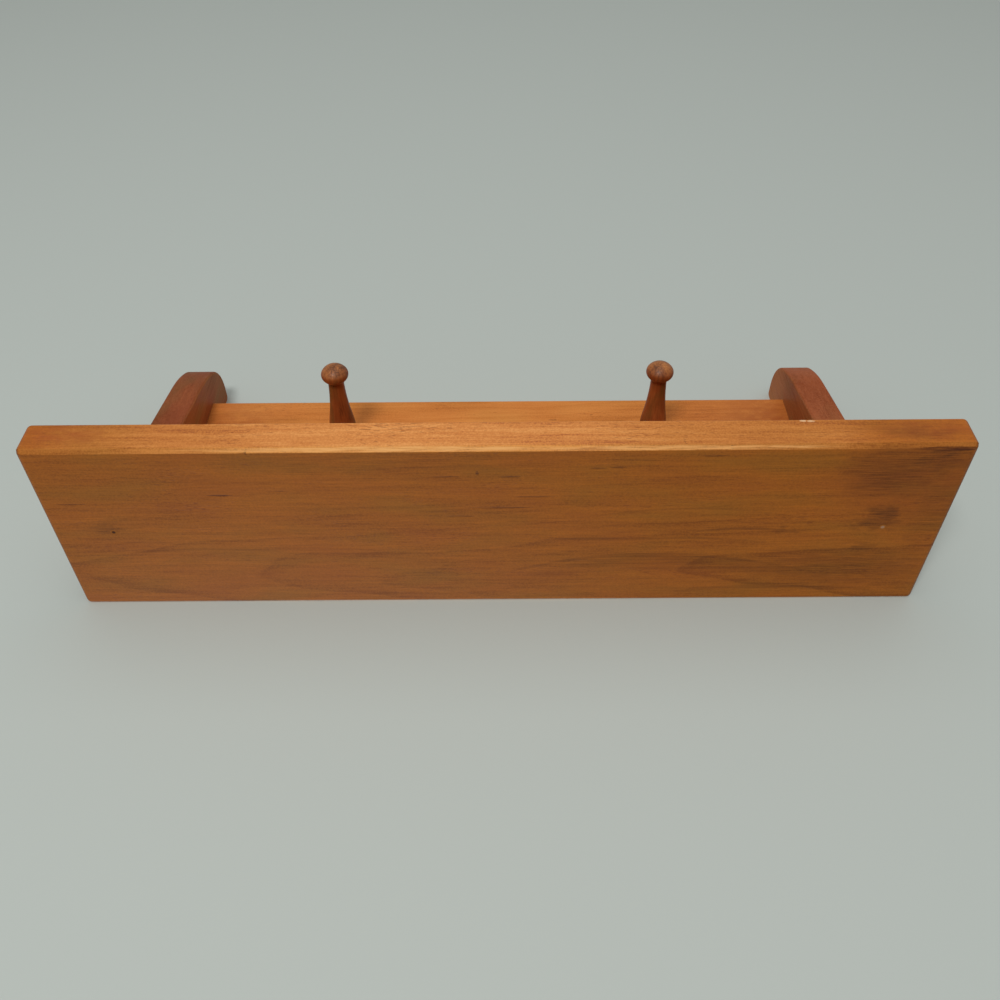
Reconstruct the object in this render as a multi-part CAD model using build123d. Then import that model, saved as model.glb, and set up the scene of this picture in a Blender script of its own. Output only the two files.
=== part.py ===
from build123d import *
import os
from math import acos, cos, degrees, radians, sin, sqrt

# Shaker peg rail with a shelf, hung on a wall.
# +X runs along the shelf, the wall is the plane Y = 0, the room lies towards -Y, and +Z is up.
# The origin is on the wall at mid length, at the height of the two hanging screws.
# Sizes are in millimetres and angles in degrees.

# Shelf board
shelf_length = 460.4
shelf_depth = 114.3
shelf_thickness = 19.05
shelf_bevel_down = 1.6         # planed off the upper front edge, down the front face
shelf_bevel_back = 2.6         # and back along the top
shelf_end_radius = 3.2         # rounded over all the way round each end
shelf_edge_radius = 1.0        # the other long edges, eased with sandpaper

# Brackets, one near each end
bracket_thickness = 19.05
bracket_inset = 25.4           # shelf end to the bracket's outer face
bracket_height = 161.1         # underside of the shelf to the sole of the foot
bracket_top_depth = 95.0       # how far the bracket reaches out under the shelf
bracket_lip = 16.0             # upright nose above the cove
bracket_lip_radius = 3.0
leg_lean = 10.9                # how much the leg's front edge leans in to the wall
knee_radius = 97.0             # slow start of the rounded foot
knee_turn = 17.0
toe_radius = 27.4              # tighter end of the foot, which turns square to the wall
sole_length = 8.0              # flat under the foot
heel_radius = 4.0              # where the foot comes back to the wall
bracket_edge_radius = 1.5      # sanded round along the front outline

# Back rail, butted between the brackets
rail_thickness = 19.05
rail_height = 131.5
rail_edge_radius = 1.5

# Turned pegs
peg_spacing = 189.5
peg_drop = 90.0                # peg axis below the shelf
peg_projection = 61.0          # rail face to the tip of the head
head_diameter = 15.9
head_length = 12.0
head_rim_radius = 3.9          # rounding of the head's side, tighter than its two domed faces
neck_diameter = 9.2
neck_blend = 1.0               # small hollow where the neck runs into the head
waist_diameter = 13.9          # where the shaft's swell turns into its long hollow taper
waist_height = 24.0
belly_diameter = 16.6          # fullest part of the shaft
belly_height = 8.5
foot_diameter = 14.6           # shoulder that sits on the rail
tenon_diameter = 9.5
tenon_length = 12.0
tenon_chamfer = 0.8

# Finish nails, driven under the surface and stopped with filler
nail_length = 50.8
nail_diameter = 2.5
nail_head_diameter = 3.5
nail_head_height = 1.6
nail_point_length = 3.5
nail_set = 2.6                 # head below the wood's surface
shelf_nail_from_face = 6.4     # nail line in from the bracket's outer face
rail_nail_from_edge = 20.0     # rail nails in from the rail's top and bottom edges

# Keyhole slots, routed in the back edge of each bracket
keyhole_drop = 50.0            # hanging screw below the shelf
keyhole_travel = 13.0          # entry hole below the hanging screw
keyhole_entry_diameter = 10.0
keyhole_slot_width = 5.2
keyhole_lip = 4.0              # wood left in front of the screw head
keyhole_depth = 10.0

# Clearances
glue_line = 0.1                # between two boards that are glued
bore_clearance = 0.05          # round a tenon, a nail or a plug of filler, on the radius
tenon_end_gap = 1.5            # air at the blind end of a peg's socket

# Places that follow from the sizes above
shelf_underside = keyhole_drop
shelf_top = shelf_underside + shelf_thickness
bracket_outer_x = shelf_length / 2 - bracket_inset
bracket_middle_x = bracket_outer_x - bracket_thickness / 2
bracket_inner_x = bracket_outer_x - bracket_thickness
board_top = shelf_underside - glue_line
rail_bottom = board_top - rail_height
rail_half_length = bracket_inner_x - glue_line
peg_z = shelf_underside - peg_drop
shelf_nail_x = bracket_outer_x - shelf_nail_from_face
shelf_nail_y = -shelf_depth / 2
rail_nail_y = -rail_thickness / 2
rail_nail_heights = (board_top - rail_nail_from_edge, rail_bottom + rail_nail_from_edge)
SIDES = {"left": -1, "right": 1}

os.makedirs("parts", exist_ok=True)


def save(shape, node):
    """One STEP file for one named piece."""
    shape.label = node
    export_step(shape, f"parts/{node}.step")


def box_between(low, high):
    """A box from its lowest corner to its highest one."""
    size = [b - a for a, b in zip(low, high)]
    return Pos(*low) * Box(*size, align=(Align.MIN, Align.MIN, Align.MIN))


def nail_well():
    """Cut for one nail: the shank's hole, and the wider well for head and filler. Opens at Z = 0."""
    well_depth = nail_set + nail_head_height
    down = (Align.CENTER, Align.CENTER, Align.MAX)
    shank = Cylinder(nail_diameter / 2 + bore_clearance, nail_length + nail_set, align=down)
    well = Cylinder(nail_head_diameter / 2 + bore_clearance, well_depth, align=down)
    return shank + well


def nail():
    """One finish nail, pointing down, with its head set under Z = 0."""
    shank_r = nail_diameter / 2
    outline = Polyline(
        (0, -nail_set),
        (nail_head_diameter / 2, -nail_set),
        (shank_r, -nail_set - nail_head_height),
        (shank_r, -nail_set - nail_length + nail_point_length),
        (0, -nail_set - nail_length),
        close=True,
    )
    return revolve(Plane.XZ * make_face(outline), axis=Axis.Z)


def filler():
    """The plug of filler over one nail, flush with Z = 0."""
    height = nail_set - glue_line
    return Cylinder(nail_head_diameter / 2, height, align=(Align.CENTER, Align.CENTER, Align.MAX))


def shelf_nail_places():
    """Nails down through the shelf into the top of each bracket."""
    return [Pos(side * shelf_nail_x, shelf_nail_y, shelf_top) for side in SIDES.values()]


def rail_nail_places():
    """Nails in through each bracket's outer face into the rail's end grain."""
    return [
        Pos(side * bracket_outer_x, rail_nail_y, z) * Rot(0, side * 90, 0)
        for side in SIDES.values()
        for z in rail_nail_heights
    ]


def nail_cuts():
    """Every nail's cut, where the nail lies."""
    return [place * nail_well() for place in shelf_nail_places() + rail_nail_places()]


def shelf_board():
    """The top board: bevelled upper front edge, rounded ends, eased long edges, and the nails' wells."""
    half = shelf_length / 2
    board = box_between((-half, -shelf_depth, shelf_underside), (half, 0, shelf_top))
    upper_front = board.edges().filter_by(Axis.X).group_by(Axis.Z)[-1].sort_by(Axis.Y)[0]
    front = board.faces().sort_by(Axis.Y)[0]
    board = chamfer(upper_front, shelf_bevel_down, shelf_bevel_back, reference=front)
    board = fillet(board.edges().filter_by(Axis.X, reverse=True), shelf_end_radius)
    long_edges = board.edges().filter_by(Axis.X)
    bevel_edges = long_edges.sort_by_distance((0, -shelf_depth, shelf_top))[:2]
    return fillet(long_edges - bevel_edges, shelf_edge_radius) - nail_cuts()


def peg_rail():
    """The back board, with a socket for each peg."""
    board = box_between((-rail_half_length, -rail_thickness, rail_bottom), (rail_half_length, 0, board_top))
    lower = board.edges().filter_by(Axis.X).group_by(Axis.Z)[0].sort_by(Axis.Y)[0]
    board = fillet(lower, rail_edge_radius)
    socket = Cylinder(
        tenon_diameter / 2 + bore_clearance,
        tenon_length + tenon_end_gap,
        rotation=(-90, 0, 0),
        align=(Align.CENTER, Align.CENTER, Align.MIN),
    )
    sockets = [Pos(side * peg_spacing / 2, -rail_thickness, peg_z) * socket for side in SIDES.values()]
    return board - sockets - nail_cuts()


def bracket_outline():
    """Side view of a bracket in the YZ plane: sole, rounded foot, leaning leg, cove and nose."""
    lean = radians(leg_lean)
    heel = Vector(0, shelf_underside - bracket_height)
    toe = JernArc(heel - (sole_length, 0), (-1, 0), toe_radius, leg_lean + knee_turn - 90)
    knee = JernArc(toe @ 1, toe % 1, knee_radius, -knee_turn)
    nose_foot = Vector(-bracket_top_depth, shelf_underside - bracket_lip)
    reach = (nose_foot - knee @ 1).dot(Vector(-cos(lean), -sin(lean)))
    cove = JernArc(nose_foot, (1, 0), reach / (1 - sin(lean)), leg_lean - 90)
    leg = Line(cove @ 1, knee @ 1)
    back = Polyline(toe @ 0, heel, (0, board_top), (-bracket_top_depth, board_top), nose_foot)
    face = make_face([toe, knee, leg, cove, back])
    return fillet(face.vertices().sort_by_distance(nose_foot)[0], bracket_lip_radius)


def keyhole():
    """Cut for one hanging slot in the wall face: entry hole, narrow slot, and room for the screw head."""
    middle = Pos(0, -keyhole_travel / 2) * Rot(0, 0, 90)
    entry = extrude(Plane.XZ * Pos(0, -keyhole_travel) * Circle(keyhole_entry_diameter / 2), keyhole_depth)
    slot = extrude(Plane.XZ * middle * SlotCenterToCenter(keyhole_travel, keyhole_slot_width), keyhole_depth)
    behind = Plane.XZ.offset(keyhole_lip) * middle * SlotCenterToCenter(keyhole_travel, keyhole_entry_diameter)
    return entry + slot + extrude(behind, keyhole_depth - keyhole_lip)


def bracket(side):
    """One bracket, its front outline rounded over, with its nail holes and its keyhole."""
    outline = bracket_outline()
    blank = extrude(Plane.YZ * outline, bracket_thickness / 2, both=True)
    edges = blank.edges().filter_by(Axis.X, reverse=True)
    at_wall = edges.group_by(Axis.Y)[-1]
    at_shelf = edges.group_by(Axis.Z)[-1]
    blank = fillet(edges - at_wall - at_shelf, bracket_edge_radius)
    heel = outline.vertices().group_by(Axis.X)[-1].sort_by(Axis.Y)[0]
    blank &= extrude(Plane.YZ * fillet(heel, heel_radius), bracket_thickness / 2, both=True)
    return Pos(side * bracket_middle_x, 0, 0) * (blank - keyhole()) - nail_cuts()


def turned_peg():
    """A peg standing on Z = 0: tenon, shoulder, swelling shaft, thin neck and flattened round head."""
    half_length = head_length / 2
    head_z = peg_projection - half_length
    rim_x = head_diameter / 2 - head_rim_radius
    dome = (rim_x**2 + half_length**2 - head_rim_radius**2) / (2 * (half_length - head_rim_radius))
    turn = degrees(acos(rim_x / (dome - head_rim_radius)))
    neck_x = neck_diameter / 2
    neck = Vector(neck_x, head_z - half_length + dome - sqrt(dome**2 - neck_x**2))
    tenon = Polyline(
        (0, peg_projection),
        (0, -tenon_length),
        (tenon_diameter / 2 - tenon_chamfer, -tenon_length),
        (tenon_diameter / 2, -tenon_length + tenon_chamfer),
        (tenon_diameter / 2, glue_line),
        (foot_diameter / 2, glue_line),
    )
    belly = Vector(belly_diameter / 2, belly_height)
    foot = TangentArc(belly, tenon @ 1, tangent=(0, -1))
    swell = TangentArc(belly, (waist_diameter / 2, waist_height), tangent=(0, 1))
    taper = TangentArc(swell @ 1, neck, tangent=swell % 1)
    rim = CenterArc((rim_x, head_z), head_rim_radius, -turn, 2 * turn)
    underside = TangentArc(rim @ 0, neck, tangent=-(rim % 0))
    face = TangentArc(rim @ 1, (0, peg_projection), tangent=rim % 1)
    profile = make_face([tenon, foot, swell, taper, underside, rim, face])
    profile = fillet(profile.vertices().sort_by_distance(neck)[0], neck_blend)
    return revolve(Plane.XZ * profile, axis=Axis.Z)


def peg(side):
    """One peg, seated in its socket and pointing out into the room."""
    return Pos(side * peg_spacing / 2, -rail_thickness, peg_z) * Rot(90, 0, 0) * turned_peg()


save(shelf_board(), "shelf_board")
save(peg_rail(), "peg_rail")
for name, side in SIDES.items():
    save(bracket(side), f"bracket_{name}")
    save(peg(side), f"peg_{name}")
save(Compound([place * nail() for place in shelf_nail_places()]), "shelf_nails")
save(Compound([place * nail() for place in rail_nail_places()]), "rail_nails")
save(Compound([place * filler() for place in shelf_nail_places()]), "shelf_nail_filler")
save(Compound([place * filler() for place in rail_nail_places()]), "bracket_nail_filler")
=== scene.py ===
import math
import bpy
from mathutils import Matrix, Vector


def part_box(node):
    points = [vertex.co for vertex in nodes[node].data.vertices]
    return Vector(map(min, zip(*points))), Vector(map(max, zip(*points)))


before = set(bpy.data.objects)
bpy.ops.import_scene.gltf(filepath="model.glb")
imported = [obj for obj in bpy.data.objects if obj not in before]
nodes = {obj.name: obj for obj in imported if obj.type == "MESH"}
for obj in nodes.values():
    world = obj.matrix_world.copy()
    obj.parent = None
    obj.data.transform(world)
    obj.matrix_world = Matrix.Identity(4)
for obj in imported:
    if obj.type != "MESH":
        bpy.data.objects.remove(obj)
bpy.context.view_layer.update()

mm = 0.001
print("frame loaded:", len(nodes), "CAD nodes")


# sRGB hex to the linear colour that the shaders take
def linear(hexColour):
    parts = [int(hexColour[i:i + 2], 16) / 255 for i in (1, 3, 5)]
    return [c / 12.92 if c <= 0.04045 else ((c + 0.055) / 1.055) ** 2.4 for c in parts] + [1.0]


# one node with its settings; an input given as a socket is linked, any other value is set
def addNode(tree, kind, inputs=None, **settings):
    node = tree.nodes.new("ShaderNode" + kind)
    for name, value in settings.items():
        setattr(node, name, value)
    for name, value in (inputs or {}).items():
        if isinstance(value, bpy.types.NodeSocket):
            tree.links.new(value, node.inputs[name])
        else:
            node.inputs[name].default_value = value
    return node


def newMaterial(name):
    material = bpy.data.materials.new(name)
    material.use_nodes = True
    return material, material.node_tree, material.node_tree.nodes["Principled BSDF"]


def dress(node, material):
    nodes[node].data.materials.clear()
    nodes[node].data.materials.append(material)


# Woods: wipe-on oil stain under a satin varnish on pine and birch. The stain sinks deeper into the soft
# early wood and into the end grain, and stands dark in pores and dents. Years of hands have rubbed it
# thin along the front edge. Some colour here is painted light: a painted highlight along the shelf's
# front bevel, painted shade on its other edges, on the pegs' rims and shafts and in the rail's corner,
# and paler bracket sides where the key lamp doesn't reach.

# length along the grain and width across it, in mm, with detail and roughness of the noise
woodPatterns = {
    "blotch": (75, 30, 2, 0.5),      # where the stain took more or less
    "hue": (48, 17, 2, 0.5),         # drift between olive and red
    "wobble": (85, 30, 1, 0.5),      # how the growth rings wander along the board
    "streak": (55, 2.4, 2, 0.55),    # bundles of fibre that took the stain alike
    "fibre": (16, 0.6, 2, 0.6),      # single fibres are 0.03 mm wide: drawn coarser, so that they show
    "pore": (3.8, 0.5, 1, 0.5),      # resin canals cut open, 3 to 10 mm long
    "cluster": (45, 13, 1, 0.5),     # the canals stand in groups
    "mottle": (9, 5, 2, 0.6),        # smears of old polish and finger marks
    "speckle": (0.9, 0.9, 1, 0.5),   # sanding dust under the varnish
}

# How each kind of mark is drawn: its colour, the pattern and the mm that fray its rim, where the rim
# starts as a share of its size, the pattern that breaks it up with from, to and least, how much it
# bends along its length, and whether it is also a dent.
markRules = {
    "blush": {"colour": "#94421c", "fray": "mottle", "by": (30, 14, 6), "rim": 0.1,
              "broken": ("mottle", 0.3, 0.6, 0.6), "bend": 0.0, "dented": False},
    "figure": {"colour": "#62340f", "fray": "wobble", "by": (20, 5, 0), "rim": 0.4,
               "broken": ("streak", 0.35, 0.6, 0.25), "bend": 0.0019, "dented": False},
    "grime": {"colour": "#4e2a10", "fray": "mottle", "by": (26, 15, 3), "rim": 0.15,
              "broken": ("fibre", 0.36, 0.6, 0.45), "bend": 0.0, "dented": False},
    "fleck": {"colour": "#4a1e0e", "fray": "speckle", "by": (3.2, 0.5, 0.5), "rim": 0.5,
              "broken": ("fibre", 0.38, 0.52, 0.25), "bend": 0.0, "dented": True},
    # partly wear and partly a painted highlight: pales the shelf's front bevel
    "rubAndSheen": {"colour": "#ffbd74", "fray": "mottle", "by": (30, 0, 0.5), "rim": 0.5,
            "broken": ("fibre", 0.62, 0.42, 0.3), "bend": 0.0, "dented": False},
    "chip": {"colour": "#ecc193", "fray": "speckle", "by": (1.2, 1.0, 1.0), "rim": 0.6,
             "broken": ("speckle", 0.35, 0.5, 0.6), "bend": 0.0, "dented": False},
}

# marks on the shelf: centre and half sizes in mm, and how strong each one is
shelfMarks = {
    "blush": {                        # redder where the stain pooled near the ends
        "left end": ((216, -112, 58), (42, 8, 14), 0.55),
        "right end": ((-206, -112, 58), (46, 8, 14), 0.55),
        "right top": ((-200, -90, 69), (55, 45, 6), 0.35),
    },
    "figure": {                       # the flame of a growth ring cut lengthways
        "flame": ((-85, -36.5, 69), (105, 2.2, 4), 0.55),
        "under the flame": ((-92, -31, 69), (92, 9, 4), 0.34),
        "inner flame": ((-150, -11, 69), (70, 3, 4), 0.35),
        "line 1": ((-95, -51, 69), (60, 1.5, 4), 0.3),
        "line 2": ((-125, -57.5, 69), (34, 1.3, 4), 0.5),
        "line 3": ((-50, -49.5, 69), (34, 1.3, 4), 0.4),
        "line 4": ((150, -44, 69), (60, 1.2, 4), 0.2),
        "line 5": ((-100, -72, 69), (70, 1.2, 4), 0.25),
    },
    "grime": {
        "large": ((-195, -96, 69), (38, 26, 6), 0.55),
        "upper": ((-180, -106, 69), (14, 5, 4), 0.5),
        "streak": ((-200, -88, 69), (26, 5, 4), 0.4),
        "hook": ((-210, -99, 69), (8, 4, 4), 0.5),
        "over the plug": ((-197, -67, 69), (16, 9, 4), 0.75),
        "by the plug": ((-193, -60, 69), (19, 7, 4), 0.6),
        "back": ((-193, -40, 69), (14, 8, 4), 0.5),
        "knot": ((-149, -55.5, 69), (9, 4, 4), 0.4),
        "left plug": ((203, -60, 69), (13, 5, 4), 0.38),
        "front end": ((-205, -114, 60), (36, 6, 9), 0.3),
        "corner": ((-219, -109, 69.4), (24, 7, 1.6), 0.8),
        "front corner": ((-213, -102, 69), (30, 14, 3), 0.6),
        # these two only darken the top over its right end and its right back quarter
        "right end": ((-222, -75, 69), (24, 62, 4), 0.35),
        "right back": ((-185, -27, 69), (72, 22, 4), 0.5),
        "front band": ((65, -105, 69), (150, 13, 4), 0.16),
    },
    "fleck": {                        # short streaks of pitch, and dents full of stain
        "pitch 1": ((138.6, -83.3, 69), (8, 0.7, 2), 0.75),
        "pitch 2": ((109.5, -86.1, 69), (7, 0.5, 2), 0.5),
        "pitch 3": ((215.0, -77.8, 69), (10, 0.6, 2), 0.35),
        "pitch 4": ((183.3, -49.2, 69), (18, 0.6, 2), 0.3),
        "pitch 5": ((25.6, -95.2, 69), (9, 0.7, 2), 0.5),
        "pitch 6": ((-6.2, -94.9, 69), (7, 0.7, 2), 0.55),
        "pitch 7": ((-48.6, -100.3, 69), (5, 0.8, 2), 0.6),
        "pitch 8": ((-58.6, -100.8, 69), (5, 0.7, 2), 0.5),
        "pitch 9": ((-18.2, -81.0, 69), (12, 0.8, 2), 0.45),
        "pitch 10": ((-1.0, -73.4, 69), (20, 0.8, 2), 0.55),
        "pitch 11": ((19.2, -67.3, 69), (9, 0.7, 2), 0.5),
        "pitch 12": ((-104.0, -108.0, 69), (8, 0.7, 2), 0.5),
        "plug": ((198.5, -58.2, 69), (1.3, 1.3, 2), 0.9),
        "dent top": ((10.0, -97.8, 69), (0.8, 1.8, 2), 0.8),
        "dent front 1": ((120.1, -113, 68.9), (0.7, 3, 0.9), 0.7),
        "scratch front 1": ((-89.7, -114.3, 65.2), (0.4, 2, 2.6), 0.6),
        "scratch front 2": ((-112.0, -113, 68.4), (0.4, 2, 1.0), 0.5),
        "corner line": ((-217, -112.4, 69.2), (25, 3, 0.9), 0.75),
    },
    "rubAndSheen": {                          # the bevel, rubbed by hands, and a painted highlight of the sheen it catches
        "worn bevel": ((50, -113, 68.25), (115, 4, 0.9), 0.9),
        "worn bevel right": ((-80, -113, 68.35), (98, 4, 0.75), 0.7),
    },
    "chip": {                         # bare pale wood where the lower edge was knocked
        "chip 1": ((-149.0, -114, 50.9), (2.0, 2, 1.3), 0.9),
        "chip 2": ((-152.8, -114, 51.4), (2.4, 2, 0.9), 0.8),
    },
}

shelfLook = {
    "offset": (310, 420, 150),        # mm, which part of the endless pattern this board is cut from
    "turn": (0, 0, 0),                # degrees, lays the grain along X
    "pith": (0, 18, -22.9),           # mm, from the origin to the heart of the tree, behind the board
    "pithTurn": (0, -2.7, 0),         # degrees between the board and the tree
    "ringWidth": 3.3,                 # mm
    "ringSeed": 4.0,                  # picks each ring's weight
    "ordinaryYears": 0.55,            # most that any ring stands out
    "darkYears": {13: 1.0, 16: 0.8, 18: 0.7},   # rings that stand out more, and how much
    "wander": 9,                      # mm, how far the rings wobble
    "tones": ["#bc6c1f", "#b1661d", "#a65f1b", "#904f15"],
    "hues": ["#966820", "#ac5a20"],   # olive and red drift
    "shares": {"ring": 0.20, "streak": 0.25, "fibre": 0.23, "blotch": 0.13, "speckle": 0.23},
    "canal": "#702c0e",
    "handledAndLitTones": ["#e99f5a", "#dc8f4c", "#d08141", "#b36637"],
    "facing": (0.3, 0.6),             # how far a surface turns to the room before it counts as handled
    "handled": {                      # mm along the board: how much hands have paled its front there
        -230: 0.0, -190: 0.05, -160: 0.40, -100: 0.52, -30: 0.95,
        60: 1.0, 100: 0.88, 157: 0.56, 204: 0.22, 230: 0.0,
    },
    "rubbed": "#f0a152",
    "wear": (0.2, 0.8),               # share of the rubbed colour on edges, least and most; on the front bevel it is also a painted highlight
    "wornFrom": (0.45, 0.88),         # how much an edge is handled where it has the least and the most
    "edgeShade": 0.92,                # painted shade: edges away from the handled middle, the rounded ends among them, are darkened
    "wholeEdges": True,
    "endGrain": 0.58,                 # how much darker the ends are
    "specular": 0.14,
    "coat": 0.05,
    "finer": 1.0,                     # draws every pattern this many times smaller
    "drift": 0.28,                    # share of the olive and red drift
    "faceStainAndLight": (1.0, 1.0, 1.0),      # how much paler faces square to X are: stain, and on the brackets painted light too
    "marks": shelfMarks,
}
railLook = dict(
    shelfLook,
    offset=(-140, 90, 700),
    pith=(0, 60, 30),
    pithTurn=(0, 0, 1.5),
    tones=["#de8e45", "#d6853e", "#cc7b36", "#b96c2c"],
    hues=["#c6843c", "#d07836"],
    shares={"ring": 0.13, "streak": 0.17, "fibre": 0.16, "blotch": 0.36, "speckle": 0.18},
    handled={-230: 0.0, 230: 0.0},
    rubbed="#d08a50",
    wear=(0.3, 0.3),
    edgeShade=1.0,
    marks={
        # painted shade and stain: darker and redder towards the brackets, at the -X end as painted shade in
        # the corner that the rail makes with its bracket
        "blush": {
            "right end": ((-190, -19, -20), (112, 8, 110), 0.95),
            "left end": ((190, -19, -20), (88, 8, 110), 0.6),
        },
        "fleck": {
            "pitch 1": ((-34.9, -19, -61.8), (3.4, 2, 0.5), 0.7),
            "pitch 2": ((-59.8, -19, -66.5), (1.2, 2, 0.6), 0.7),
        },
    },
)
bracketLook = dict(
    shelfLook,
    offset=(60, -330, 40),
    turn=(0, 90, 0),
    pith=(0, 70, 40),
    pithTurn=(0, 0, 1.0),
    tones=["#9a5430", "#904c2b", "#864526", "#76391c"],
    hues=["#7a5430", "#904428"],
    shares={"ring": 0.08, "streak": 0.18, "fibre": 0.14, "blotch": 0.40, "speckle": 0.20},
    handled={-230: 0.0, 230: 0.0},
    rubbed="#9a5c3c",
    wear=(0.0, 0.0),
    edgeShade=1.0,
    wholeEdges=False,
    endGrain=0.9,
    specular=0.05,
    coat=0.0,
    drift=0.45,
    # painted light as well as stain: lifts the faces square to X, most on this bracket's inner face, which
    # the key lamp doesn't reach
    faceStainAndLight=(1.5, 1.9, 1.65),
    marks={},
)
pegLook = dict(
    shelfLook,
    offset=(500, 130, -260),
    turn=(0, 0, -90),
    pith=(0, 30, 12),
    pithTurn=(0, 1, 1),
    ringWidth=8,
    wander=7,
    tones=["#a65a2a", "#974e23", "#88431d", "#703415"],
    hues=["#6e4a20", "#96481c"],
    shares={"ring": 0.24, "streak": 0.26, "fibre": 0.10, "blotch": 0.40, "speckle": 0.10},
    # painted shade: every surface of a peg counts as handled by how far it faces the room, so the head's
    # face takes the paler tones and its rim and the shaft the darker
    handledAndLitTones=["#c88650", "#ac6b38", "#8b532e", "#60361d"],
    handled={-230: 1.0, 230: 1.0},
    facing=(0.25, 0.9),
    rubbed="#a06038",
    wear=(0.0, 0.0),
    edgeShade=1.0,
    endGrain=1.0,
    specular=0.2,
    coat=0.12,
    finer=2.6,
    drift=0.75,
    marks={},
)

# what all the woods share
woodRules = {
    "noise": (0.3, 0.7),              # a noise lies mostly between these, and is spread from 0 to 1
    "lateWood": ((0.45, 0.15), (0.90, 1.0)),   # how dark a ring is, part way and near its outer side
    "tones": (0.2, 0.7),              # depth of stain at the palest and at the darkest tone
    "reach": 250,                     # mm, half the length that "handled" covers
    "edge": (0.99, 0.86),             # how square to an axis an edge is where it begins, and is full
    "patchy": (0.3, 0.62, 1.3, 0.3),  # pale and dark wood, and how much each of them wears
    "crossways": (0.15, 0.5),         # turn to X from which an edge is worn less, and not at all
    "planed": (0.6, 0.95),            # turn to X from which a face counts as planed, and fully so
    "ends": (0.4, 0.8),               # turn to the end grain, the same
    "clusters": 0.5,                  # how much the canals keep to their groups
    "opened": 0.02,                   # how many more of them show where hands have rubbed
    "canals": (0.93, 1.03, 0.45),     # where a canal begins and is full, and its share of colour
    "gloss": (0.40, 0.54),            # roughness of closed and of open fibre
    "coatRoughness": 0.3,
    "dents": -1.2,                    # how deep dark marks lie, when a fibre's height is 1
    "bump": (0.35, 0.15),             # strength, and the fibre's height in mm
}


# growth rings round the heart of the tree: each darkens outwards and ends sharply
def growthRings(tree, look, alongX, wobble):
    wander = addNode(tree, "VectorMath", {
        0: wobble,
        1: (0, look["wander"], look["wander"]),
    }, operation="MULTIPLY")
    heart = addNode(tree, "Mapping", {
        "Vector": alongX,
        "Location": look["pith"],
        "Rotation": [math.radians(a) for a in look["pithTurn"]],
    })
    across = addNode(tree, "VectorMath", {
        0: heart.outputs["Vector"],
        1: (0, 1, 1),
        2: wander.outputs["Vector"],
    }, operation="MULTIPLY_ADD")
    radius = addNode(tree, "VectorMath", {0: across.outputs["Vector"]}, operation="LENGTH")
    years = addNode(tree, "Math", {0: radius.outputs["Value"], 1: look["ringWidth"]}, operation="DIVIDE")
    season = addNode(tree, "Math", {0: years.outputs["Value"]}, operation="FRACT")
    year = addNode(tree, "Math", {0: years.outputs["Value"]}, operation="FLOOR")
    chance = addNode(tree, "Math", {0: year.outputs["Value"], 1: look["ringSeed"]}, operation="ADD")
    weather = addNode(tree, "TexWhiteNoise", {"W": chance.outputs["Value"]}, noise_dimensions="1D")
    late = addNode(tree, "ValToRGB", {"Fac": season.outputs["Value"]})
    late.color_ramp.elements[0].color = (0, 0, 0, 1)
    late.color_ramp.elements[1].color = (0, 0, 0, 1)
    for spot, value in woodRules["lateWood"]:
        element = late.color_ramp.elements.new(spot)
        element.color = (value, value, value, 1)
    weight = addNode(tree, "Math", {
        0: weather.outputs["Value"],
        1: look["ordinaryYears"],
    }, operation="MULTIPLY").outputs["Value"]
    for number, strength in look["darkYears"].items():
        chosen = addNode(tree, "Math", {0: year.outputs["Value"], 1: number, 2: 0.5}, operation="COMPARE")
        weight = addNode(tree, "Math", {
            0: chosen.outputs["Value"],
            1: strength,
            2: weight,
        }, operation="MULTIPLY_ADD").outputs["Value"]
    return addNode(tree, "Math", {
        0: late.outputs["Color"],
        1: weight,
    }, operation="MULTIPLY").outputs["Value"]


# how strongly the marks of one kind show, every one an ellipsoid with a frayed rim
def frayedMarks(tree, rule, marks, noises, inMm):
    frayed = addNode(tree, "VectorMath", {
        0: noises[rule["fray"]].outputs["Color"],
        1: rule["by"],
        2: inMm,
    }, operation="MULTIPLY_ADD")
    total = 0.0
    for centre, half, strength in marks.values():
        shift = [c + b * 0.5 for c, b in zip(centre, rule["by"])]   # a noise averages 0.5
        near = addNode(tree, "VectorMath", {0: frayed.outputs["Vector"], 1: shift}, operation="SUBTRACT")
        if rule["bend"]:
            squared = addNode(tree, "VectorMath", {
                0: near.outputs["Vector"],
                1: near.outputs["Vector"],
            }, operation="MULTIPLY")
            lengthSquared = addNode(tree, "SeparateXYZ", {0: squared.outputs["Vector"]})
            drop = addNode(tree, "Math", {
                0: lengthSquared.outputs["X"],
                1: -rule["bend"],
            }, operation="MULTIPLY")
            sideways = addNode(tree, "CombineXYZ", {"Y": drop.outputs["Value"]})
            near = addNode(tree, "VectorMath", {
                0: near.outputs["Vector"],
                1: sideways.outputs["Vector"],
            }, operation="ADD")
        inside = addNode(tree, "VectorMath", {0: near.outputs["Vector"], 1: half}, operation="DIVIDE")
        away = addNode(tree, "VectorMath", {0: inside.outputs["Vector"]}, operation="LENGTH")
        mark = addNode(tree, "MapRange", {
            "Value": away.outputs["Value"],
            "From Min": 1.0,
            "From Max": rule["rim"],
            "To Max": strength,
        }, interpolation_type="SMOOTHSTEP")
        total = addNode(tree, "Math", {
            0: mark.outputs["Result"],
            1: total,
        }, operation="MAXIMUM").outputs["Value"]
    pattern, least, most, left = rule["broken"]
    broken = addNode(tree, "MapRange", {
        "Value": noises[pattern].outputs["Fac"],
        "From Min": least,
        "From Max": most,
        "To Min": left,
    })
    return addNode(tree, "Math", {
        0: total,
        1: broken.outputs["Result"],
    }, operation="MULTIPLY").outputs["Value"]


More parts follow.
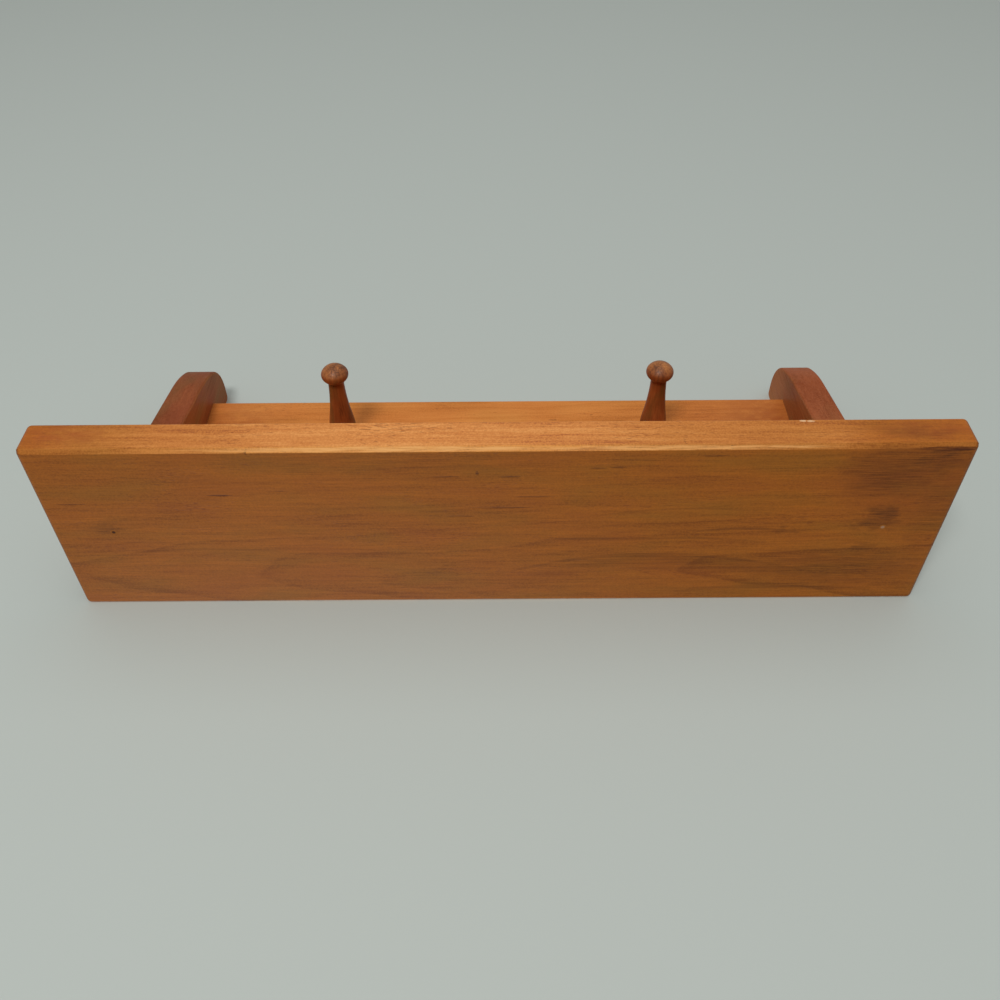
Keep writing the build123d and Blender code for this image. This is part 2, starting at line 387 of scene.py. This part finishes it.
def stainedWood(name, look):
    material, tree, shader = newMaterial(name)
    place = addNode(tree, "TexCoord")
    turn = [math.radians(a) for a in look["turn"]]
    inMm = addNode(tree, "VectorMath", {0: place.outputs["Object"], 1: (1 / mm,) * 3}, operation="MULTIPLY")
    alongX = addNode(tree, "Mapping", {
        "Vector": inMm.outputs["Vector"],
        "Rotation": turn,
        "Scale": (look["finer"],) * 3,
    })
    grain = addNode(tree, "VectorMath", {0: alongX.outputs["Vector"], 1: look["offset"]}, operation="ADD")
    noises = {}
    for key, (length, width, detail, rough) in woodPatterns.items():
        stretched = addNode(tree, "VectorMath", {
            0: grain.outputs["Vector"],
            1: (1 / length, 1 / width, 1 / width),
        }, operation="MULTIPLY")
        noises[key] = addNode(tree, "TexNoise", {
            "Vector": stretched.outputs["Vector"],
            "Scale": 1,
            "Detail": detail,
            "Roughness": rough,
        })

    # every pattern's share in how deep the stain stands
    depth = 0.0
    for key, share in look["shares"].items():
        if key == "ring":
            spread = growthRings(tree, look, alongX.outputs["Vector"], noises["wobble"].outputs["Color"])
        else:
            spread = addNode(tree, "MapRange", {
                "Value": noises[key].outputs["Fac"],
                "From Min": woodRules["noise"][0],
                "From Max": woodRules["noise"][1],
            }).outputs["Result"]
        depth = addNode(tree, "Math", {
            0: spread,
            1: share,
            2: depth,
        }, operation="MULTIPLY_ADD").outputs["Value"]
    ramps = {}
    palest, darkest = woodRules["tones"]
    for key in ("tones", "handledAndLitTones"):
        ramps[key] = addNode(tree, "ValToRGB", {"Fac": depth})
        elements = ramps[key].color_ramp.elements
        for i, hexColour in enumerate(look[key]):
            spot = palest + (darkest - palest) * i / (len(look[key]) - 1)
            element = elements[i] if i < 2 else elements.new(spot)   # a new ramp has two
            element.position = spot
            element.color = linear(hexColour)
    colour = ramps["tones"].outputs["Color"]
    for hexColour, extreme in zip(look["hues"], reversed(woodRules["noise"])):
        amount = addNode(tree, "MapRange", {
            "Value": noises["hue"].outputs["Fac"],
            "From Min": 0.5,
            "From Max": extreme,
            "To Max": look["drift"],
        })
        colour = addNode(tree, "MixRGB", {
            "Fac": amount.outputs["Result"],
            "Color1": colour,
            "Color2": linear(hexColour),
        }).outputs["Color"]

    # the front edge, handled most in its middle; on the pegs, which count as handled all over, this is
    # painted shade by how far a surface faces the room
    reach = woodRules["reach"]
    spots = addNode(tree, "SeparateXYZ", {0: inMm.outputs["Vector"]})
    span = addNode(tree, "MapRange", {
        "Value": spots.outputs["X"],
        "From Min": -reach,
        "From Max": reach,
    })
    handled = addNode(tree, "ValToRGB", {"Fac": span.outputs["Result"]})
    handled.color_ramp.interpolation = "EASE"
    elements = handled.color_ramp.elements
    for i, (x, value) in enumerate(look["handled"].items()):
        spot = (x + reach) / (2 * reach)
        element = elements[i] if i < 2 else elements.new(spot)
        element.position = spot
        element.color = (value, value, value, 1)
    facing = addNode(tree, "SeparateXYZ", {0: place.outputs["Normal"]})
    forward = addNode(tree, "MapRange", {
        "Value": facing.outputs["Y"],
        "From Min": -look["facing"][0],
        "From Max": -look["facing"][1],
    })
    heldAndLit = addNode(tree, "Math", {
        0: handled.outputs["Color"],
        1: forward.outputs["Result"],
    }, operation="MULTIPLY")
    colour = addNode(tree, "MixRGB", {
        "Fac": heldAndLit.outputs["Value"],
        "Color1": colour,
        "Color2": ramps["handledAndLitTones"].outputs["Color"],
    }).outputs["Color"]

    # edges, where the surface turns from one face to the next: rubbed pale, but not on the end grain, and
    # on the shelf's front bevel also a painted highlight
    sides = addNode(tree, "VectorMath", {0: place.outputs["Normal"]}, operation="ABSOLUTE")
    side = addNode(tree, "SeparateXYZ", {0: sides.outputs["Vector"]})
    if look["wholeEdges"]:
        other = addNode(tree, "Math", {0: side.outputs["Y"], 1: side.outputs["Z"]}, operation="MAXIMUM")
    else:
        outline = addNode(tree, "VectorMath", {
            0: sides.outputs["Vector"],
            1: (0, 1, 1),
        }, operation="MULTIPLY")
        other = addNode(tree, "VectorMath", {0: outline.outputs["Vector"]}, operation="LENGTH")
    square = addNode(tree, "Math", {0: side.outputs["X"], 1: other.outputs["Value"]}, operation="MAXIMUM")
    edge = addNode(tree, "MapRange", {
        "Value": square.outputs["Value"],
        "From Min": woodRules["edge"][0],
        "From Max": woodRules["edge"][1],
    })
    wear = addNode(tree, "MapRange", {
        "Value": handled.outputs["Color"],
        "From Min": look["wornFrom"][0],
        "From Max": look["wornFrom"][1],
        "To Min": look["wear"][0],
        "To Max": look["wear"][1],
    })
    patchy = addNode(tree, "MapRange", {
        "Value": depth,
        "From Min": woodRules["patchy"][0],
        "From Max": woodRules["patchy"][1],
        "To Min": woodRules["patchy"][2],
        "To Max": woodRules["patchy"][3],
    })
    lengthways = addNode(tree, "MapRange", {
        "Value": side.outputs["X"],
        "From Min": woodRules["crossways"][0],
        "From Max": woodRules["crossways"][1],
        "To Min": 1.0,
        "To Max": 0.0,
    })
    wornAndSheen = edge
    for factor in (wear, patchy, lengthways):
        wornAndSheen = addNode(tree, "Math", {
            0: wornAndSheen.outputs[0],
            1: factor.outputs["Result"],
        }, operation="MULTIPLY", use_clamp=True)
    colour = addNode(tree, "MixRGB", {
        "Fac": wornAndSheen.outputs["Value"],
        "Color1": colour,
        "Color2": linear(look["rubbed"]),
    }).outputs["Color"]
    # painted shade: edges away from the handled middle are darkened by edgeShade
    unheld = addNode(tree, "Math", {0: 1.0, 1: handled.outputs["Color"]}, operation="SUBTRACT")
    paintedEdgeShade = addNode(tree, "Math", {
        0: edge.outputs["Result"],
        1: unheld.outputs["Value"],
    }, operation="MULTIPLY")
    colour = addNode(tree, "MixRGB", {
        "Fac": paintedEdgeShade.outputs["Value"],
        "Color1": colour,
        "Color2": (look["edgeShade"],) * 3 + (1.0,),
    }, blend_type="MULTIPLY").outputs["Color"]

    # planed faces took less stain than sawn edges; on the brackets the lift is also painted light, larger
    # where a face is turned from the key lamp
    planed = addNode(tree, "MapRange", {
        "Value": side.outputs["X"],
        "From Min": woodRules["planed"][0],
        "From Max": woodRules["planed"][1],
    })
    colour = addNode(tree, "MixRGB", {
        "Fac": planed.outputs["Result"],
        "Color1": colour,
        "Color2": look["faceStainAndLight"] + (1.0,),
    }, blend_type="MULTIPLY").outputs["Color"]

    # end grain drinks more stain
    turned = addNode(tree, "Mapping", {"Vector": place.outputs["Normal"], "Rotation": turn})
    ends = addNode(tree, "SeparateXYZ", {0: turned.outputs["Vector"]})
    end = addNode(tree, "Math", {0: ends.outputs["X"]}, operation="ABSOLUTE")
    drunk = addNode(tree, "MapRange", {
        "Value": end.outputs["Value"],
        "From Min": woodRules["ends"][0],
        "From Max": woodRules["ends"][1],
        "To Min": 1.0,
        "To Max": look["endGrain"],
    })
    colour = addNode(tree, "MixRGB", {
        "Fac": 1.0,
        "Color1": colour,
        "Color2": drunk.outputs["Result"],
    }, blend_type="MULTIPLY").outputs["Color"]

    # resin canals in groups, dark with stain
    grouped = addNode(tree, "Math", {
        0: noises["cluster"].outputs["Fac"],
        1: woodRules["clusters"],
        2: noises["pore"].outputs["Fac"],
    }, operation="MULTIPLY_ADD")
    opened = addNode(tree, "Math", {
        0: heldAndLit.outputs["Value"],
        1: woodRules["opened"],
        2: grouped.outputs["Value"],
    }, operation="MULTIPLY_ADD")
    dark = addNode(tree, "MapRange", {
        "Value": opened.outputs["Value"],
        "From Min": woodRules["canals"][0],
        "From Max": woodRules["canals"][1],
        "To Max": woodRules["canals"][2],
    }).outputs["Result"]
    colour = addNode(tree, "MixRGB", {
        "Fac": dark,
        "Color1": colour,
        "Color2": linear(look["canal"]),
    }).outputs["Color"]

    for kind, marks in look["marks"].items():
        rule = markRules[kind]
        shown = frayedMarks(tree, rule, marks, noises, inMm.outputs["Vector"])
        if rule["dented"]:
            dark = addNode(tree, "Math", {0: shown, 1: dark}, operation="MAXIMUM").outputs["Value"]
        colour = addNode(tree, "MixRGB", {
            "Fac": shown,
            "Color1": colour,
            "Color2": linear(rule["colour"]),
        }).outputs["Color"]
    tree.links.new(colour, shader.inputs["Base Color"])

    # satin varnish, thinner where the fibres are open
    gloss = addNode(tree, "MapRange", {
        "Value": noises["fibre"].outputs["Fac"],
        "From Min": woodRules["noise"][0],
        "From Max": woodRules["noise"][1],
        "To Min": woodRules["gloss"][0],
        "To Max": woodRules["gloss"][1],
    })
    tree.links.new(gloss.outputs["Result"], shader.inputs["Roughness"])
    shader.inputs["Specular IOR Level"].default_value = look["specular"]
    shader.inputs["Coat Weight"].default_value = look["coat"]
    shader.inputs["Coat Roughness"].default_value = woodRules["coatRoughness"]
    height = addNode(tree, "Math", {
        0: dark,
        1: woodRules["dents"],
        2: noises["fibre"].outputs["Fac"],
    }, operation="MULTIPLY_ADD")
    bump = addNode(tree, "Bump", {
        "Strength": woodRules["bump"][0],
        "Distance": woodRules["bump"][1] * mm,
        "Height": height.outputs["Value"],
    })
    tree.links.new(bump.outputs["Normal"], shader.inputs["Normal"])
    return material


for node, name, look in (
    ("shelf_board", "flat-sawn pine, stained, satin varnish", shelfLook),
    ("peg_rail", "quarter-sawn pine, stained, satin varnish", railLook),
    ("bracket_right", "birch, dark stain, satin varnish", bracketLook),
    # its faces square to X carry less painted light than bracket_right's, as its inner face is lit by the
    # key lamp
    ("bracket_left", "birch, dark stain, satin varnish, second", dict(
        bracketLook,
        offset=(-200, 250, 700),
        tones=["#b0643c", "#a65b36", "#9c5431", "#8b4625"],
        hues=["#94643a", "#a25430"],
        faceStainAndLight=(1.05, 1.28, 1.15),
    )),
    ("peg_left", "turned birch, dark stain", pegLook),
    ("peg_right", "turned birch, dark stain, second", dict(pegLook, offset=(-90, 610, 330))),
):
    dress(node, stainedWood(name, look))
print("woods done")


# Wood filler, pressed in and sanded flush: dull, a little off the colour of the wood round it.
fillerLook = {
    "shelf_nail_filler": {"+X": "#4e2a14", "-X": "#b88c6c"},    # the plugs on each side
    "bracket_nail_filler": {"+X": "#7c4a2e", "-X": "#6e3d24"},
    "dust": (1.2, 0.75, 1.2),         # grains to a mm, and the shade of the darkest and the palest
    "rim": "#a86626",                 # stain that crept into the shelf's plugs from their rims
    "rimShares": (0.385, 0.70),       # of the plug's radius: where that begins and is full
    "roughness": 0.7,
    "specular": 0.14,
}
for node in ("shelf_nail_filler", "bracket_nail_filler"):
    material, tree, shader = newMaterial("wood filler, sanded flush, " + node)
    place = addNode(tree, "TexCoord")
    along = addNode(tree, "SeparateXYZ", {0: place.outputs["Object"]})
    side = addNode(tree, "Math", {0: along.outputs["X"], 1: 0.0}, operation="LESS_THAN")
    base = addNode(tree, "MixRGB", {
        "Fac": side.outputs["Value"],
        "Color1": linear(fillerLook[node]["+X"]),
        "Color2": linear(fillerLook[node]["-X"]),
    })
    grains, darkest, palest = fillerLook["dust"]
    dusty = addNode(tree, "TexNoise", {
        "Vector": place.outputs["Object"],
        "Scale": grains / mm,
        "Detail": 2,
    })
    fleck = addNode(tree, "MapRange", {"Value": dusty.outputs["Fac"], "To Min": darkest, "To Max": palest})
    colour = addNode(tree, "MixRGB", {
        "Fac": 1.0,
        "Color1": base.outputs["Color"],
        "Color2": fleck.outputs["Result"],
    }, blend_type="MULTIPLY").outputs["Color"]
    if node == "shelf_nail_filler":
        # distance from the middle of the nearer plug
        low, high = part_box(node)
        plug = (high[1] - low[1]) / 2
        mirrored = addNode(tree, "VectorMath", {0: place.outputs["Object"]}, operation="ABSOLUTE")
        near = addNode(tree, "VectorMath", {
            0: mirrored.outputs["Vector"],
            1: (high[0] - plug, abs(low[1] + high[1]) / 2, 0),
        }, operation="SUBTRACT")
        flat = addNode(tree, "VectorMath", {0: near.outputs["Vector"], 1: (1, 1, 0)}, operation="MULTIPLY")
        away = addNode(tree, "VectorMath", {0: flat.outputs["Vector"]}, operation="LENGTH")
        rim = addNode(tree, "MapRange", {
            "Value": away.outputs["Value"],
            "From Min": plug * fillerLook["rimShares"][0],
            "From Max": plug * fillerLook["rimShares"][1],
        })
        colour = addNode(tree, "MixRGB", {
            "Fac": rim.outputs["Result"],
            "Color1": colour,
            "Color2": linear(fillerLook["rim"]),
        }).outputs["Color"]
    tree.links.new(colour, shader.inputs["Base Color"])
    shader.inputs["Roughness"].default_value = fillerLook["roughness"]
    shader.inputs["Specular IOR Level"].default_value = fillerLook["specular"]
    dress(node, material)

# Drawn steel wire: bright, with fine lines along the draw. The heads and shanks are inside the wood.
steelLook = {
    "shelf_nails": (5.0, 5.0, 0.5),   # lines to a mm along X, Y and Z: these nails stand upright
    "rail_nails": (0.5, 5.0, 5.0),    # and these lie along X
    "colours": ("#a8a9ab", "#c6c7c9"),
    "roughness": (0.25, 0.45),
}
for node in ("shelf_nails", "rail_nails"):
    material, tree, shader = newMaterial("drawn steel wire, " + node)
    place = addNode(tree, "TexCoord")
    lines = addNode(tree, "VectorMath", {
        0: place.outputs["Object"],
        1: [count / mm for count in steelLook[node]],
    }, operation="MULTIPLY")
    drawn = addNode(tree, "TexNoise", {"Vector": lines.outputs["Vector"], "Scale": 1, "Detail": 2})
    tint = addNode(tree, "MixRGB", {
        "Fac": drawn.outputs["Fac"],
        "Color1": linear(steelLook["colours"][0]),
        "Color2": linear(steelLook["colours"][1]),
    })
    rough = addNode(tree, "MapRange", {
        "Value": drawn.outputs["Fac"],
        "To Min": steelLook["roughness"][0],
        "To Max": steelLook["roughness"][1],
    })
    tree.links.new(tint.outputs["Color"], shader.inputs["Base Color"])
    tree.links.new(rough.outputs["Result"], shader.inputs["Roughness"])
    shader.inputs["Metallic"].default_value = 1.0
    dress(node, material)
print("filler and steel done")


# 1 for rays that come from the camera, or by way of gloss or glass, and 0 for the rays that light things
def seenDirectly(tree):
    ray = addNode(tree, "LightPath")
    seen = addNode(tree, "Math", {
        0: ray.outputs["Is Camera Ray"],
        1: ray.outputs["Is Glossy Ray"],
    }, operation="MAXIMUM")
    return addNode(tree, "Math", {
        0: seen.outputs["Value"],
        1: ray.outputs["Is Transmission Ray"],
    }, operation="MAXIMUM").outputs["Value"]


# The wall, a pale backdrop in matt paint that keeps the shadow. It is seen only from the room's side,
# and only by camera, glossy and transmission rays, so it never takes light from the back of the shelf.
wallLook = {
    "size": 6.0,                      # m
    "behind": 0.4,                    # mm behind the backs of the boards
    "colour": "#bfc6c0",
}
bpy.ops.object.select_all(action="DESELECT")
bpy.ops.mesh.primitive_plane_add(
    size=wallLook["size"],
    location=(0, wallLook["behind"] * mm, 0),
    rotation=(math.radians(90), 0, 0),
)
wall = bpy.context.object
wall.name = "wall"
bpy.ops.object.transform_apply(location=True, rotation=True, scale=True)
material = bpy.data.materials.new("matt wall paint")
material.use_nodes = True
tree = material.node_tree
tree.nodes.clear()
side = addNode(tree, "NewGeometry")
roomSide = addNode(tree, "Math", {
    0: seenDirectly(tree),
    1: side.outputs["Backfacing"],
}, operation="SUBTRACT", use_clamp=True)
clear = addNode(tree, "BsdfTransparent")
paint = addNode(tree, "BsdfDiffuse", {"Color": linear(wallLook["colour"])})
mixed = addNode(tree, "MixShader", {
    0: roomSide.outputs["Value"],
    1: clear.outputs["BSDF"],
    2: paint.outputs["BSDF"],
})
addNode(tree, "OutputMaterial", {"Surface": mixed.outputs["Shader"]})
wall.data.materials.append(material)

# light in the room, and what is seen past the wall
worldLook = {
    "light": "#f2f3f2",
    "ambient": 0.30,                  # strength of that light
    "backdrop": "#e3ebe4",            # close to the wall's paint
    "backdropStrength": 0.62,
}
world = bpy.data.worlds.new("room")
bpy.context.scene.world = world
world.use_nodes = True
tree = world.node_tree
seen = seenDirectly(tree)
strength = addNode(tree, "MapRange", {
    "Value": seen,
    "To Min": worldLook["ambient"],
    "To Max": worldLook["backdropStrength"],
})
tint = addNode(tree, "MixRGB", {
    "Fac": seen,
    "Color1": linear(worldLook["light"]),
    "Color2": linear(worldLook["backdrop"]),
})
air = tree.nodes["Background"]
tree.links.new(tint.outputs["Color"], air.inputs["Color"])
tree.links.new(strength.outputs["Result"], air.inputs["Strength"])

# lamps, placed in m and turned to the origin
lamps = {
    "soft overhead": {"place": (0.0, -2.2, -0.1), "size": 2.4, "level": 0.35},
    "key": {"place": (0.42, -1.89, 1.03), "size": 0.40, "level": 0.38},
    "back": {"place": (0.5, 2.0, 0.3), "size": 1.5, "level": 0.45},
}
for name, lamp in lamps.items():
    bpy.ops.object.light_add(type="AREA", location=lamp["place"])
    area = bpy.context.object
    area.name = name
    away = Vector(lamp["place"])
    area.rotation_euler = away.to_track_quat("Z", "Y").to_euler()
    area.data.size = lamp["size"]
    # watts: a level of 1 would light a white sheet that faces the lamp to white
    area.data.energy = lamp["level"] * math.pi ** 2 * away.length_squared
print("wall, world and lamps done")

# camera
view = {
    "place": (-1.80, -424.20, 410.59),      # mm
    "turn": (-45.31, -0.23, 179.67),        # degrees
    "lens": 34.96,                          # mm
    "nearest": 10,                          # mm, what is nearer than this isn't drawn
}
camera = bpy.data.objects.new("camera", bpy.data.cameras.new("camera"))
bpy.context.scene.collection.objects.link(camera)
camera.location = [v * mm for v in view["place"]]
camera.rotation_euler = [math.radians(v) for v in view["turn"]]
camera.data.lens = view["lens"]
camera.data.clip_start = view["nearest"] * mm
bpy.context.scene.camera = camera
bpy.context.scene.view_settings.view_transform = "Standard"
